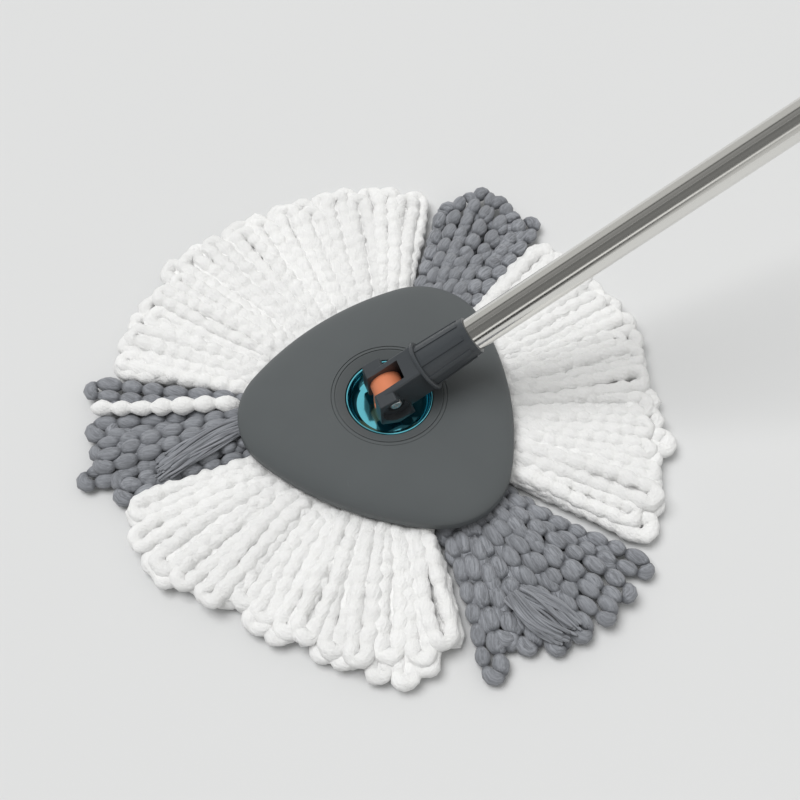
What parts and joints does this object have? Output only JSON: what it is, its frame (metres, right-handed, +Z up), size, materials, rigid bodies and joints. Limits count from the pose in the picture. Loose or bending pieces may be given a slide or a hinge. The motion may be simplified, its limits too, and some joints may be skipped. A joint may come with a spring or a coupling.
{
  "type": "spin mop",
  "caption": "Triangular spin mop head with a looped yarn skirt, a swivelling and tilting joint, and a telescopic steel handle with a twist lock and hanging loop.",
  "frame": {"origin": "where the swivel axis meets the floor that the yarn lies on", "axes": "+Z up along the swivel axis, +X the way the handle leans, Y along the hinge pin"},
  "size_m": [0.9237, 0.398, 0.463],
  "materials": {
    "head_grey": "matte, fine grain",
    "frame_grey": "matte",
    "joint_grey": "satin",
    "grip_grey": "satin, fine grain",
    "cup_blue": "gloss",
    "knuckle_orange": "satin",
    "yarn_white": "soft twisted microfibre",
    "yarn_grey": "soft twisted microfibre",
    "tube_steel": "polished stainless steel",
    "screw_steel": "zinc plated",
    "bearing_steel": "polished"
  },
  "bodies": {
    "head": {"head_shell": "head_grey", "base_frame": "frame_grey", "shell_screws": "screw_steel", "centre_pad": "yarn_white", "yarn_white_1": "yarn_white", "yarn_white_2": "yarn_white", "yarn_white_3": "yarn_white", "yarn_grey_1": "yarn_grey", "yarn_grey_2": "yarn_grey", "yarn_grey_3": "yarn_grey"},
    "hub": {"hub_ring": "head_grey", "hub_cover": "frame_grey", "hub_screws": "screw_steel", "bearing_outer_race": "bearing_steel", "bearing_balls": "bearing_steel"},
    "swivel": {"bearing_inner_race": "bearing_steel", "swivel_cup": "cup_blue", "knuckle": "knuckle_orange", "stem_washer": "screw_steel", "stem_screw": "screw_steel"},
    "lower_handle": {"fork": "joint_grey", "hinge_screw": "screw_steel", "hinge_nut": "screw_steel", "lower_tube": "tube_steel", "socket_screw": "screw_steel", "collar_base": "joint_grey"},
    "lock": {"lock_nut": "joint_grey"},
    "upper_handle": {"upper_tube": "tube_steel", "expander": "frame_grey", "grip": "grip_grey", "grip_band": "cup_blue", "end_cap": "grip_grey"}
  },
  "joints": [
    {"name": "hub_release", "type": "slide", "parent": "head", "child": "hub", "axis": [0, 0, 1], "range_m": [0, 0.15]},
    {"name": "swivel_turn", "type": "hinge", "parent": "hub", "child": "swivel", "pos_m": [0, 0, 0.0195], "axis": [0, 0, 1], "continuous": true},
    {"name": "handle_tilt", "type": "hinge", "parent": "swivel", "child": "lower_handle", "pos_m": [0, 0, 0.0425], "axis": [0, -1, 0], "range_deg": [0, 129]},
    {"name": "lock_twist", "type": "hinge", "parent": "lower_handle", "child": "lock", "pos_m": [0.51962, 0, 0.3425], "axis": [0.866, 0, 0.5], "range_deg": [0, 90]},
    {"name": "telescope", "type": "slide", "parent": "lower_handle", "child": "upper_handle", "axis": [0.866, 0, 0.5], "range_m": [0, 0.45]}
  ]
}
